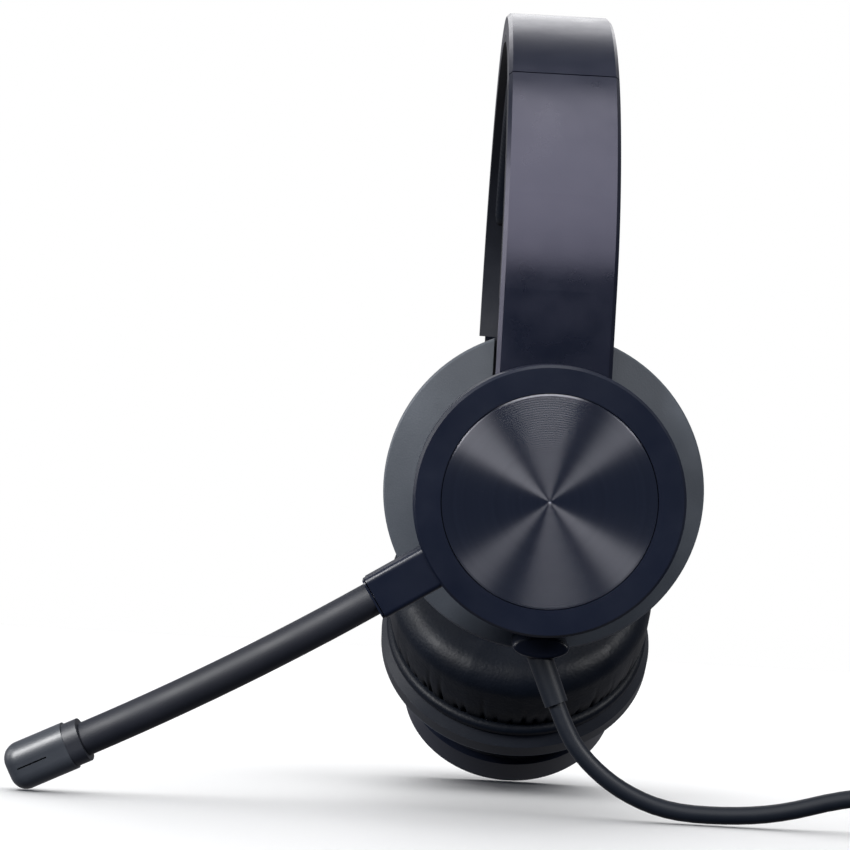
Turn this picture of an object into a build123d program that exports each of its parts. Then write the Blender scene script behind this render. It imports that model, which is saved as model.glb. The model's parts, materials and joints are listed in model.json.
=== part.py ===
from build123d import *
import math
import os

# Office headset: an arched headband, two sliding arms, two round ear cups that tilt, a microphone
# boom that turns about the left cup, and a lead with a coil and a USB plug.
# Millimetres. +Z is up, the wearer faces -X, and the left cup is the one at -Y.
# The headset stands as it is put down on a desk: it leans over on the right cup's lower rim and on
# the microphone. The floor is Z = 0, and the origin lies on it under the middle of the headset.

# Headband and arms. Their outline is drawn in the headset's own upright frame: Y across the ears,
# Z up, with Z = 0 level with the middles of the ear cups.
ARCH_RADIUS = 85.2          # outside of the arch, a half circle
ARCH_CENTRE = 60.6          # its height above the middles of the cups
BAND_WIDTH = 26.0
BAND_CHAMFER = 0.9
SEAM_ANGLE = 24.8           # where headband and arm part, above the arch's level diameter
LOWER_RADIUS = 57.0         # the arms curl in on this radius below the arch
ARM_TAPER = 22.65           # how far the arms' straight ends lean in
BAND_THICKNESS = 7.2        # outside of the shell to inside of the liner
SHELL_WALL = 1.6
LINER_WALL = 1.6
SIDE_WALL = 1.2
STRIP_DEPTH = 3.2           # the steel strips lie this deep under the band's outside
STRIP_THICKNESS = 1.2
STRIP_WIDTH = 22.6
STRIP_TAIL = 28.0           # length of strip inside the headband when the arm is pushed home
STRIP_ROOT_ANGLE = 9.0      # length of strip inside the arm, as an angle of the arch
SLIDE_CANT = 7.0            # the strip slides this much more outwards than the seam's tangent
GUIDE_LENGTH = 7.0
GUIDE_THICKNESS = 2.3
SPRING_DEPTH = 2.2
SPRING_THICKNESS = 0.8
SPRING_WIDTH = 18.0
SEAM_GAP = 0.25             # as an angle of the arch
ARM_COVER_DEPTH = 3.1
ARM_LINER_DEPTH = 4.5
ARM_LINER_DROP = 2.0        # the liner ends this far below the end of the curl
ARM_DROP = 32.0             # from the end of the curl down to the cup's hinge
PIN_DEPTH = 2.0             # hinge pin under the arm's outside
BARREL_RADIUS = 2.9
PIN_RADIUS = 1.5
RUNNING_GAP = 0.05
PAD_THICKNESS = 7.5
PAD_WIDTH = 22.0
PAD_ANGLE = 50.0            # the pad ends this far above the arch's level diameter
PAD_FILLET = 3.0
LINER_SCREW_ANGLES = (62, 80, 100, 118)
LINER_SCREW_RADIUS = 0.9

# Ear cups. Drawn about their own axis: Z runs in towards the head from the cap's face, Y up the
# face, X to the front on the left cup and to the back on the right one.
CAP_RADIUS = 29.9
CAP_DEPTH = 8.8
CAP_BEVEL = 0.6
CAP_WALL = 2.0
DISC_RADIUS = 23.75
DISC_RECESS = 0.2
DISC_THICKNESS = 0.8
LEDGE_WIDTH = 2.4
HUB_RADIUS = 5.5
HUB_BORE = 3.3
HUB_END = 23.9
CLIP_RADIUS = 7.5
CLIP_THICKNESS = 0.8
CLIP_DEPTH = 22.3
NECK_RADIUS = 24.0          # the neck between the cap and the cup shell
NECK_GAP = 0.4
ARM_SLOT_WIDTH = 26.8       # the slot in the neck that the arm comes down
ARM_SLOT_START = 9.4
SHELL_FLOOR = 20.4          # the cup shell's floor behind the cap
FLOOR_RADIUS = 25.0
RING_RADIUS = 36.9
RING_INNER_DEPTH = 22.6     # depth of the ring where it meets the floor's slope
RING_EDGE = 24.3            # the ring's outer edge, behind the cap's face
RIM_WALL_END = 28.2
RIM_BACK = 31.0
RIM_RADIUS = 35.0           # the rim's back edge, after its bevel
SHELL_THICKNESS = 1.8
NOTCH_WIDTH = 26.6
NOTCH_START = 24.4          # the notch for the arm is cut from this height up
NOTCH_FLOOR = 27.6
HINGE_HEIGHT = 14.0         # the hinge pin above the cup's middle
HINGE_DEPTH = 12.6          # and behind the cap's face
PIN_LENGTH = 36.0
BAFFLE_RADIUS = 32.0
BAFFLE_DEPTH = 29.6
BAFFLE_THICKNESS = 1.4
SCREW_CIRCLE = 28.4
SCREW_ANGLES = (30, 150, 270)
SCREW_RADIUS = 0.8
SCREW_HEAD_RADIUS = 1.5
POST_RADIUS = 2.0
VENT_CIRCLE = 25.0
PIPING_RADIUS = 35.6
PIPING_DEPTH = 3.4
CUSHION_START = 34.6
CUSHION_DEPTH = 20.4
CUSHION_RADIUS = 35.4
CUSHION_HOLE = 19.0
CUSHION_FILLET = 7.0
RING_EASE = 0.4             # how far the outer ring's edge is eased in
RING_EASE_DEPTH = 0.5
CLIP_MOUTH = 5.0            # opening of the spring clip
CLIP_GRIP = 0.95            # how far it reaches into the hub's groove
VENT_RADIUS = 1.2
VENT_COUNT = 12
SCREW_LENGTH = 4.4
SCREW_HEAD_HEIGHT = 1.0
PIPING_WIDTH = 5.0
PIPING_FILLET = 1.5
FRAME_RIM = 1.2             # loudspeaker: depths below the baffle
FRAME_DEPTH = 3.6
MAGNET_TOP = 2.2
MAGNET_BOTTOM = 5.2
DOME_RADIUS = 7.0
SURROUND_RADIUS = 10.0
MESH_RISE = 2.2             # the ear mesh lies this far in front of the baffle
MESH_THICKNESS = 0.6
DRIVER_RADIUS = 20.0
MAGNET_RADIUS = 9.0
MESH_RADIUS = 20.6
BOARD_SIZE = (16.0, 7.0, 1.0)
FIT_GAP = 0.05              # between pieces of one body

# Microphone boom, in the plane of the left cap.
STUB_ANGLE = 32.5           # below level, towards the front
STUB_REACH = 44.3           # cup's middle to the stub's end
STUB_WIDTH = 9.9
STUB_THICKNESS = 7.6
STUB_MIDDLE = 4.2           # behind the cap's face
STUB_FILLET = 1.3
STUB_COLLAR = 1.2
BOOM_DIAMETER = 7.6
BOOM_WALL = 1.6
BOOM_BEND_RADIUS = 660.0
BOOM_TURN = 6.2             # how much the boom flattens out towards the microphone
MIC_LENGTH = 18.1
MIC_WIDTH = 10.8
MIC_THICKNESS = 8.6
MIC_WALL = 1.2
MIC_COLLAR_LENGTH = 3.4
MIC_COLLAR_WIDTH = 9.9
MIC_CORNER = 4.0
MIC_END_FILLET = 3.5
MIC_SLOT = (0.35, 3.2, 7.0)
MIC_ELEMENT_RADIUS = 3.0
MIC_ELEMENT_THICKNESS = 2.2
COLLAR_SINK = 0.45          # how deep the stub's collar sits in its end

# Lead. Its boss is drawn about the left cup's axis; the rest lies where the headset stands.
CORD_DIAMETER = 4.0
BOSS_WIDTH = 12.8
BOSS_HEIGHT = 5.2
BOSS_MIDDLE = (-0.9, -34.4)
BOSS_FRONT = 13.6
BOSS_BACK = 25.0
BOSS_FILLET = 0.8
RELIEF_LENGTH = 12.0
RELIEF_TOP_RADIUS = 2.9
RELIEF_END_RADIUS = 2.7
COIL_TURNS = 6              # turns side by side in each of the coil's layers
COIL_LAYERS = 2
COIL_MIDDLE_RADIUS = 22.0
COIL_CENTRE = (162.0, -31.7)
TIE_WIDTH = 9.0
TIE_THICKNESS = 0.8
TIE_ANGLE = 110.0
PLUG_SIZE = (24.0, 16.0, 8.0)
PLUG_BOOT_LENGTH = 8.0
PLUG_BOOT_RADIUS = 3.9
PLUG_SHELL_SIZE = (18.8, 12.0, 4.5)
PLUG_SHELL_WALL = 0.3
PLUG_FILLET = 2.0
PLUG_WINDOW = (2.4, 2.0, 1.5)
TONGUE_THICKNESS = 1.9
TONGUE_SINK = 1.5           # the tongue ends this far inside the shell's mouth
TONGUE_DROP = 0.9           # its middle lies this far below the shell's

# The lead's route: down from the strain relief, along the floor and up on to the coil.
ROUTE = [
    (45.5, -62.3, 24.9),
    (48.2, -62.6, 18.3),
    (53.0, -63.1, 12.2),
    (60.6, -63.6, 6.4),
    (71.0, -64.0, 2.4),
    (84.0, -64.3, 2.0),
    (97.0, -64.3, 3.3),
    (110.5, -64.2, 7.4),
    (126.0, -64.0, 9.3),
    (143.0, -63.8, 7.8),
    (158.0, -63.7, 6.0),
]
# From the coil's lower layer to the plug.
TAIL = [
    (194.0, -32.0, 2.0),
    (194.2, -22.0, 2.0),
    (192.8, -12.5, 2.8),
    (190.2, -4.0, 4.0),
    (187.8, 3.0, 4.0),
]

# How it stands, and how far its joints are from their middles.
LEAN = 15.2                 # the arch's lean away from -Y
LEFT_TILT = 2.05            # left cup's lean in, past the arm's
RIGHT_TILT = -2.05
RIGHT_EXTENSION = 7.7       # the right arm is pulled out a little
HEADSET_PLACE = (40.27, -13.06, 57.94)

LEFT = -1
RIGHT = 1
ON_BASE = (Align.CENTER, Align.CENTER, Align.MIN)
STAND = Location(HEADSET_PLACE, (-LEAN, 0, 0))


def sine(angle):
    return math.sin(math.radians(angle))


def cosine(angle):
    return math.cos(math.radians(angle))


# ---- outlines of the headband and the right arm, in the upright YZ plane --------------------------

def arch_point(angle, depth):
    """A point of the right half of the arch, depth under its outside."""
    radius = ARCH_RADIUS - depth
    return radius * cosine(angle), ARCH_CENTRE + radius * sine(angle)


def arm_point(depth, drop):
    """A point of the right arm's straight end, drop below the end of its curl."""
    radius = LOWER_RADIUS - depth
    y = ARCH_RADIUS - LOWER_RADIUS + radius * cosine(ARM_TAPER) - drop * sine(ARM_TAPER)
    z = ARCH_CENTRE - radius * sine(ARM_TAPER) - drop * cosine(ARM_TAPER)
    return y, z


def arch_band(outer, inner, start, end):
    """Piece of the arch between two depths and two angles."""
    centre = (0, ARCH_CENTRE)
    edges = Curve() + [
        CenterArc(centre, ARCH_RADIUS - outer, start, end - start),
        Line(arch_point(end, outer), arch_point(end, inner)),
        CenterArc(centre, ARCH_RADIUS - inner, start, end - start),
        Line(arch_point(start, outer), arch_point(start, inner)),
    ]
    return make_face(edges)


def arm_band(outer, inner, top, drop):
    """Piece of the right arm between two depths, from an angle of the arch to its end."""
    low = (ARCH_RADIUS - LOWER_RADIUS, ARCH_CENTRE)
    edges = Curve() + [
        CenterArc((0, ARCH_CENTRE), ARCH_RADIUS - outer, 0, top),
        CenterArc(low, LOWER_RADIUS - outer, 0, -ARM_TAPER),
        Line(arm_point(outer, 0), arm_point(outer, drop)),
        Line(arm_point(outer, drop), arm_point(inner, drop)),
        Line(arm_point(inner, 0), arm_point(inner, drop)),
        CenterArc(low, LOWER_RADIUS - inner, 0, -ARM_TAPER),
        CenterArc((0, ARCH_CENTRE), ARCH_RADIUS - inner, 0, top),
        Line(arch_point(top, outer), arch_point(top, inner)),
    ]
    return make_face(edges)


def across(face, width):
    """A YZ outline made solid across the band, centred on X = 0."""
    return extrude(Plane.YZ * face, width / 2, both=True)


def long_edges(solid, least, most=1000):
    """The round edges that run along the band, by their radius."""
    return [e for e in solid.edges().filter_by(GeomType.CIRCLE) if least < e.radius < most]


# ---- headband -------------------------------------------------------------------------------------

def headband_shell():
    liner_face = BAND_THICKNESS - LINER_WALL - FIT_GAP
    shell = across(arch_band(0, liner_face, SEAM_ANGLE, 180 - SEAM_ANGLE), BAND_WIDTH)
    shell = chamfer(long_edges(shell, ARCH_RADIUS - 1), BAND_CHAMFER)
    hollow = arch_band(SHELL_WALL, BAND_THICKNESS, SEAM_ANGLE - 5, 185 - SEAM_ANGLE)
    return shell - across(hollow, BAND_WIDTH - 2 * SIDE_WALL)


def headband_liner():
    face = arch_band(BAND_THICKNESS - LINER_WALL, BAND_THICKNESS, SEAM_ANGLE, 180 - SEAM_ANGLE)
    liner = across(face, BAND_WIDTH)
    for angle in LINER_SCREW_ANGLES:
        liner -= inward_rod(angle, LINER_SCREW_RADIUS + FIT_GAP, 8)
    return liner


def inward_rod(angle, radius, length):
    """A rod that stands out from the liner's inside, towards the shell."""
    y, z = arch_point(angle, BAND_THICKNESS)
    spot = Plane(origin=(0, y, z), z_dir=(0, cosine(angle), sine(angle)))
    return spot * Cylinder(radius, 2 * length)


def headband_spring():
    """The spring steel strip that gives the band its grip, between the two slides."""
    start = SEAM_ANGLE + math.degrees((STRIP_TAIL + 4) / ARCH_RADIUS)
    face = arch_band(SPRING_DEPTH, SPRING_DEPTH + SPRING_THICKNESS, start, 180 - start)
    return across(face, SPRING_WIDTH)


def headband_pad():
    start = BAND_THICKNESS + FIT_GAP
    face = arch_band(start, start + PAD_THICKNESS, PAD_ANGLE, 180 - PAD_ANGLE)
    pad = across(face, PAD_WIDTH)
    return fillet(long_edges(pad, 1, ARCH_RADIUS - start - 1), PAD_FILLET)


def headband_screws():
    """Short screws that hold the liner up against the spring strip, under the pad."""
    reach = BAND_THICKNESS - SPRING_DEPTH - SPRING_THICKNESS - FIT_GAP
    band = across(arch_band(0, BAND_THICKNESS, 0, 180), BAND_WIDTH)
    rods = [inward_rod(angle, LINER_SCREW_RADIUS, reach) & band for angle in LINER_SCREW_ANGLES]
    return Part() + rods


def slide_plane(distance):
    """The right strip's own frame: Z up the strip, X across the band, at a distance up it."""
    y, z = arch_point(SEAM_ANGLE, STRIP_DEPTH + STRIP_THICKNESS / 2)
    lean = SEAM_ANGLE + SLIDE_CANT
    up = (0, -sine(lean), cosine(lean))
    origin = (0, y + distance * up[1], z + distance * up[2])
    return Plane(origin=origin, x_dir=(1, 0, 0), z_dir=up)


def slide_guide():
    """The plastic guide in the headband's end that the right strip runs through."""
    frame = Box(BAND_WIDTH - 2 * SIDE_WALL - 0.2, GUIDE_THICKNESS, GUIDE_LENGTH)
    slot = Box(STRIP_WIDTH + 0.3, STRIP_THICKNESS + 0.3, GUIDE_LENGTH + 2)
    return slide_plane(GUIDE_LENGTH / 2 + 1.2) * (frame - slot)


# ---- arms -----------------------------------------------------------------------------------------

def hinge_point():
    """The cup's hinge on the right arm, pushed home, in the upright YZ plane."""
    return arm_point(PIN_DEPTH, ARM_DROP)


def hinge_rod(radius, width):
    """A rod along the hinge's axis."""
    y, z = hinge_point()
    return Pos(0, y, z) * Rot(0, 90, 0) * Cylinder(radius, width)


def arm_cover():
    """The arm's outer shell, down to the barrel that the cup hangs on."""
    top = SEAM_ANGLE - SEAM_GAP
    cover = across(arm_band(0, ARM_COVER_DEPTH, top, ARM_DROP), BAND_WIDTH)
    cover = chamfer(long_edges(cover, LOWER_RADIUS - 0.1), BAND_CHAMFER)
    barrel = hinge_rod(BARREL_RADIUS, BAND_WIDTH)
    return cover + barrel - hinge_rod(PIN_RADIUS + RUNNING_GAP, BAND_WIDTH + 2)


def arm_liner():
    """The arm's inner plate, from the seam to just above the cup."""
    top = SEAM_ANGLE - SEAM_GAP
    face = arm_band(ARM_LINER_DEPTH, BAND_THICKNESS, top, ARM_LINER_DROP)
    return across(face, BAND_WIDTH)


def slide_strip():
    """The steel strip: a straight tail that slides in the headband, and a curved root."""
    tail = Box(STRIP_WIDTH, STRIP_THICKNESS, STRIP_TAIL, align=ON_BASE)
    end = STRIP_DEPTH + STRIP_THICKNESS
    root = arch_band(STRIP_DEPTH, end, SEAM_ANGLE - STRIP_ROOT_ANGLE, SEAM_ANGLE)
    return slide_plane(0) * tail + across(root, STRIP_WIDTH)


# ---- ear cups, about their own axis -----------------------------------------------------------------

def spun(points):
    """A turned piece: (radius, depth) points about the cup's axis, joined by straight lines."""
    return revolve(Plane.XZ * make_face(Polyline(*points, close=True)), Axis.Z)


def disc(radius, low, high):
    """A round plate about the cup's axis, from depth low to depth high."""
    return Pos(0, 0, low) * extrude(Circle(radius), high - low)


def ring(outer, inner, low, high):
    """A flat ring about the cup's axis."""
    return disc(outer, low, high) - disc(inner, low - 1, high + 1)


def cap_ring():
    """The smooth ring round the trim disc."""
    return spun([
        (DISC_RADIUS + FIT_GAP, 0),
        (CAP_RADIUS - CAP_BEVEL, 0),
        (CAP_RADIUS, CAP_BEVEL),
        (CAP_RADIUS, CAP_DEPTH),
        (CAP_RADIUS - CAP_WALL, CAP_DEPTH),
        (CAP_RADIUS - CAP_WALL, CAP_WALL + 1),
        (DISC_RADIUS - LEDGE_WIDTH, CAP_WALL + 1),
        (DISC_RADIUS - LEDGE_WIDTH, DISC_RECESS + DISC_THICKNESS + FIT_GAP),
        (DISC_RADIUS + FIT_GAP, DISC_RECESS + DISC_THICKNESS + FIT_GAP),
    ])


def trim_disc():
    return disc(DISC_RADIUS, DISC_RECESS, DISC_RECESS + DISC_THICKNESS)


def cap_back():
    """The plate that closes the cap, with the hollow hub that holds it to the cup."""
    edge = CAP_RADIUS - CAP_WALL - FIT_GAP
    plate = disc(edge, CAP_DEPTH - CAP_WALL, CAP_DEPTH)
    hub = disc(HUB_RADIUS, CAP_DEPTH - CAP_WALL, HUB_END)
    groove = ring(HUB_RADIUS + 1, HUB_RADIUS - 1, CLIP_DEPTH, CLIP_DEPTH + CLIP_THICKNESS + 0.1)
    return plate + hub - disc(HUB_BORE, 0, HUB_END + 1) - groove


def hub_clip():
    """The open spring clip that keeps the hub in the cup."""
    low = CLIP_DEPTH + FIT_GAP
    clip = ring(CLIP_RADIUS, HUB_RADIUS - CLIP_GRIP, low, low + CLIP_THICKNESS)
    return clip - Pos(CLIP_RADIUS, 0, low) * Box(CLIP_RADIUS * 2, CLIP_MOUTH, 4 * CLIP_THICKNESS)


def cup_shell():
    """The outer ring and rim, with the slotted neck behind the cap and the arm's notch."""
    wall = SHELL_THICKNESS
    body = spun([
        (0, CAP_DEPTH + NECK_GAP),
        (NECK_RADIUS, CAP_DEPTH + NECK_GAP),
        (NECK_RADIUS, SHELL_FLOOR),
        (FLOOR_RADIUS + 2, RING_INNER_DEPTH),
        (RING_RADIUS - RING_EASE, RING_EDGE - RING_EASE_DEPTH),
        (RING_RADIUS, RING_EDGE),
        (RING_RADIUS, RIM_WALL_END),
        (RIM_RADIUS, RIM_BACK),
        (0, RIM_BACK),
    ])
    inside = spun([
        (0, SHELL_FLOOR + wall),
        (FLOOR_RADIUS - 0.8, SHELL_FLOOR + wall),
        (FLOOR_RADIUS + 1.2, RING_INNER_DEPTH + wall),
        (RING_RADIUS - RING_EASE - wall, RING_EDGE - RING_EASE_DEPTH + wall),
        (RING_RADIUS - RING_EASE - wall, RIM_WALL_END - 0.6),
        (BAFFLE_RADIUS + FIT_GAP, BAFFLE_DEPTH - 1.0),
        (BAFFLE_RADIUS + FIT_GAP, RIM_BACK + 1),
        (0, RIM_BACK + 1),
    ])
    lining_width = NOTCH_WIDTH + 2 * wall
    lining = upward_block(lining_width, NOTCH_START - wall, SHELL_FLOOR, BAFFLE_DEPTH - FIT_GAP)
    shell = body - (inside - lining)
    shell -= upward_block(ARM_SLOT_WIDTH, ARM_SLOT_START, 0, SHELL_FLOOR)
    shell -= upward_block(NOTCH_WIDTH, NOTCH_START, 0, NOTCH_FLOOR)
    shell += at_screws(POST_RADIUS, RING_INNER_DEPTH + 1, BAFFLE_DEPTH - FIT_GAP)
    shell -= at_screws(SCREW_RADIUS + FIT_GAP, BAFFLE_DEPTH - 4, BAFFLE_DEPTH)
    shell -= hinge_hole(PIN_RADIUS)
    return shell - disc(HUB_RADIUS + RUNNING_GAP, 0, SHELL_FLOOR + 3)


def upward_block(width, start, low, high):
    """A block across the cup, from a height above its middle to past the rim."""
    reach = RING_RADIUS + 5 - start
    return Pos(0, start + reach / 2, (low + high) / 2) * Box(width, reach, high - low)


def hinge_hole(radius):
    """A rod across the neck's slot, on the hinge's axis."""
    return Pos(0, HINGE_HEIGHT, HINGE_DEPTH) * Rot(0, 90, 0) * Cylinder(radius, PIN_LENGTH)


def baffle():
    """The plate that holds the driver, with its ring of vents."""
    plate = disc(BAFFLE_RADIUS, BAFFLE_DEPTH, BAFFLE_DEPTH + BAFFLE_THICKNESS)
    plate -= disc(DRIVER_RADIUS - 4, BAFFLE_DEPTH - 1, BAFFLE_DEPTH + 3)
    vent = Pos(VENT_CIRCLE, 0, BAFFLE_DEPTH) * Cylinder(VENT_RADIUS, 6)
    for index in range(VENT_COUNT):
        plate -= Rot(0, 0, (index + 0.5) * 360 / VENT_COUNT) * vent
    return plate - at_screws(SCREW_RADIUS + FIT_GAP, BAFFLE_DEPTH - 1, RIM_BACK + 1)


def at_screws(radius, low, high):
    """Three rods, one at each of the baffle's screws."""
    rod = Pos(SCREW_CIRCLE, 0, (low + high) / 2) * Cylinder(radius, high - low)
    return Part() + [Rot(0, 0, angle) * rod for angle in SCREW_ANGLES]


def baffle_screws():
    """The screws that hold the baffle down on the shell's posts."""
    top = BAFFLE_DEPTH + BAFFLE_THICKNESS
    screw = Pos(SCREW_CIRCLE, 0, top - SCREW_LENGTH / 2) * Cylinder(SCREW_RADIUS, SCREW_LENGTH)
    head = Cylinder(SCREW_HEAD_RADIUS, SCREW_HEAD_HEIGHT)
    screw += Pos(SCREW_CIRCLE, 0, top + SCREW_HEAD_HEIGHT / 2) * head
    return Part() + [Rot(0, 0, angle) * screw for angle in SCREW_ANGLES]


def cushion_ring():
    """The rolled ring between the rim and the cushion, which clips the cushion on."""
    outer = PIPING_RADIUS
    low = RIM_BACK + FIT_GAP
    piping = ring(outer, outer - PIPING_WIDTH, low, low + PIPING_DEPTH)
    round_edges = [e for e in piping.edges().filter_by(GeomType.CIRCLE) if e.radius > outer - 1]
    return fillet(round_edges, PIPING_FILLET)


def ear_cushion():
    """The padded ring that sits round the ear."""
    high = CUSHION_START + CUSHION_DEPTH
    cushion = ring(CUSHION_RADIUS, CUSHION_HOLE, CUSHION_START, high)
    front = [e for e in cushion.edges().filter_by(GeomType.CIRCLE) if e.arc_center.Z > high - 1]
    return fillet(front, CUSHION_FILLET)


def driver_frame():
    """The loudspeaker's basket, behind the baffle."""
    low = BAFFLE_DEPTH - FIT_GAP
    return spun([
        (DRIVER_RADIUS, low),
        (DRIVER_RADIUS, low - FRAME_RIM),
        (MAGNET_RADIUS + 3, low - FRAME_DEPTH),
        (MAGNET_RADIUS + 0.1, low - FRAME_DEPTH),
        (MAGNET_RADIUS + 0.1, low - MAGNET_TOP),
        (DRIVER_RADIUS - 3, low - 0.6),
        (DRIVER_RADIUS - 3, low),
    ])


def driver_magnet():
    """The round magnet in the middle of the basket."""
    low = BAFFLE_DEPTH - FIT_GAP
    return disc(MAGNET_RADIUS, low - MAGNET_BOTTOM, low - MAGNET_TOP)


def driver_diaphragm():
    """The loudspeaker's thin cone, which faces the ear through the baffle."""
    low = BAFFLE_DEPTH - 0.4
    return spun([
        (0, low - 1.2),
        (DOME_RADIUS, low - 0.2),
        (SURROUND_RADIUS, low - 1.0),
        (DRIVER_RADIUS - 3.3, low + 0.1),
        (DRIVER_RADIUS - 3.3, low + 0.3),
        (SURROUND_RADIUS, low - 0.8),
        (DOME_RADIUS, low),
        (0, low - 1.0),
    ])


def ear_mesh():
    """The disc of thin acoustic cloth inside the cushion's hole."""
    low = BAFFLE_DEPTH + BAFFLE_THICKNESS + MESH_RISE
    return disc(MESH_RADIUS, low, low + MESH_THICKNESS)


# ---- microphone boom, about the left cup's axis ------------------------------------------------------

BOOM_START = Vector(STUB_REACH * cosine(STUB_ANGLE), -STUB_REACH * sine(STUB_ANGLE), STUB_MIDDLE)
BOOM_END_ANGLE = STUB_ANGLE - BOOM_TURN
BEND_CENTRE = Vector(
    BOOM_START.X + BOOM_BEND_RADIUS * sine(STUB_ANGLE),
    BOOM_START.Y + BOOM_BEND_RADIUS * cosine(STUB_ANGLE),
    STUB_MIDDLE,
)
BOOM_END = Vector(
    BEND_CENTRE.X - BOOM_BEND_RADIUS * sine(BOOM_END_ANGLE),
    BEND_CENTRE.Y - BOOM_BEND_RADIUS * cosine(BOOM_END_ANGLE),
    STUB_MIDDLE,
)


def along(angle, start):
    """A frame at a point of the boom: Z along it, X down across it, Y in to the head."""
    direction = (cosine(angle), -sine(angle), 0)
    return Plane(origin=start, x_dir=(sine(angle), cosine(angle), 0), z_dir=direction)


def boom_cap():
    """The left cap's ring, in one piece with the stub that carries the boom."""
    length = STUB_REACH - STUB_COLLAR - (CAP_RADIUS - CAP_WALL)
    place = along(STUB_ANGLE, Vector(0, 0, STUB_MIDDLE))
    stub = Box(STUB_WIDTH, STUB_THICKNESS, length, align=ON_BASE)
    stub = fillet(stub.edges().filter_by(Axis.Z), STUB_FILLET)
    stub = place * (Pos(0, 0, CAP_RADIUS - CAP_WALL + 0.5) * stub)
    return cap_ring() + stub - stub_bore(place)


def stub_bore(place):
    """The hole in the stub that the boom's root sits in."""
    return place * (Pos(0, 0, STUB_REACH - 8) * Cylinder(BOOM_DIAMETER / 2 - BOOM_WALL + FIT_GAP, 20))


def stub_collar():
    """The thin collar that finishes the stub's end."""
    place = along(STUB_ANGLE, BOOM_START)
    plate = RectangleRounded(STUB_WIDTH - 0.4, STUB_THICKNESS - 0.2, STUB_FILLET)
    collar = extrude(plate, STUB_COLLAR - 0.75) - Cylinder(BOOM_DIAMETER / 2 - BOOM_WALL + FIT_GAP, 10)
    return place * (Pos(0, 0, -COLLAR_SINK) * collar)


def boom_arc(radius):
    """A round rod along the boom's gentle bend."""
    start = math.degrees(math.atan2(BOOM_START.Y - BEND_CENTRE.Y, BOOM_START.X - BEND_CENTRE.X))
    path = CenterArc((BEND_CENTRE.X, BEND_CENTRE.Y, STUB_MIDDLE), BOOM_BEND_RADIUS, start, BOOM_TURN)
    return sweep(along(STUB_ANGLE, BOOM_START) * Circle(radius), path)


def boom_sleeve():
    """The smooth rubber sleeve of the bendable boom."""
    return boom_arc(BOOM_DIAMETER / 2) - boom_arc(BOOM_DIAMETER / 2 - BOOM_WALL)


def boom_core():
    """The bendable wire core, which goes on into the stub."""
    radius = BOOM_DIAMETER / 2 - BOOM_WALL - FIT_GAP
    root = Pos(0, 0, -5) * Cylinder(radius, 10)
    return boom_arc(radius) + along(STUB_ANGLE, BOOM_START) * root


def mic_collar():
    """The thick collar between the sleeve and the capsule."""
    place = along(BOOM_END_ANGLE, BOOM_END)
    outline = RectangleRounded(MIC_COLLAR_WIDTH, MIC_COLLAR_WIDTH - 1.2, MIC_CORNER)
    return place * (Pos(0, 0, FIT_GAP) * extrude(outline, MIC_COLLAR_LENGTH))


def mic_housing():
    """The flattened capsule at the boom's end, hollow, with a slot for the voice."""
    place = along(BOOM_END_ANGLE, BOOM_END)
    start = MIC_COLLAR_LENGTH + 2 * FIT_GAP
    length = MIC_LENGTH - MIC_COLLAR_LENGTH
    outline = RectangleRounded(MIC_WIDTH, MIC_THICKNESS, MIC_CORNER)
    body = extrude(outline, length)
    tip = [e for e in body.edges() if e.center().Z > length - 0.1]
    body = fillet(tip, MIC_END_FILLET)
    inner = RectangleRounded(MIC_WIDTH - 2 * MIC_WALL, MIC_THICKNESS - 2 * MIC_WALL, MIC_CORNER - 1)
    body -= Pos(0, 0, MIC_WALL) * extrude(inner, length - 2 * MIC_WALL - 1)
    slot = Pos(0.2, -MIC_THICKNESS / 2, length / 2 + 1) * Box(*MIC_SLOT)
    return place * (Pos(0, 0, start) * (body - slot))


def mic_element():
    """The round electret microphone inside the capsule."""
    place = along(BOOM_END_ANGLE, BOOM_END)
    element = Rot(90, 0, 0) * Cylinder(MIC_ELEMENT_RADIUS, MIC_ELEMENT_THICKNESS)
    return place * (Pos(0, 0.4, MIC_COLLAR_LENGTH + 8) * element)


def terminal_board():
    """The small board inside the left cup that the lead's wires end on."""
    return Pos(0, -20.5, SHELL_FLOOR + 4) * Box(*BOARD_SIZE)


# ---- lead: its boss on the left cup, and its route in the standing headset's frame --------------------

def cable_boss(shell):
    """The oval block under the ring that the lead comes out of, hooked over the ring's edge."""
    oval = extrude(Ellipse(BOSS_WIDTH / 2, BOSS_HEIGHT / 2), BOSS_BACK - BOSS_FRONT)
    front = [e for e in oval.edges() if e.center().Z < 0.1]
    oval = fillet(front, BOSS_FILLET)
    return Pos(*BOSS_MIDDLE, BOSS_FRONT) * oval - shell


def strain_relief(boss):
    """The tapered sleeve round the lead where it leaves the boss."""
    end = Vector(*ROUTE[0])
    place = Plane(origin=end, z_dir=end - Vector(*ROUTE[1]))
    return place * Cone(RELIEF_END_RADIUS, RELIEF_TOP_RADIUS, RELIEF_LENGTH, align=ON_BASE) - boss


def bend_radii(route):
    """For each corner of a route, the largest arc that its two runs leave room for."""
    radii = []
    for before, corner, after in zip(route, route[1:], route[2:]):
        first = Vector(*corner) - Vector(*before)
        second = Vector(*after) - Vector(*corner)
        half_turn = math.radians(first.get_angle(second)) / 2
        radii.append(0.45 * min(first.length, second.length) / math.tan(half_turn))
    return radii


def cord_tube(name, route):
    """A stretch of the lead along its route."""
    radii = bend_radii(route)
    print(name, "bend radii", [round(radius, 1) for radius in radii])
    path = FilletPolyline(*route, radius=radii)
    start = Plane(origin=path @ 0, z_dir=path % 0)
    tube = sweep(start * Circle(CORD_DIAMETER / 2), path)
    section = math.pi * CORD_DIAMETER ** 2 / 4
    print(name, "length", round(path.length, 1), "volume", round(tube.volume), "expected",
          round(section * path.length))
    return tube


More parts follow.
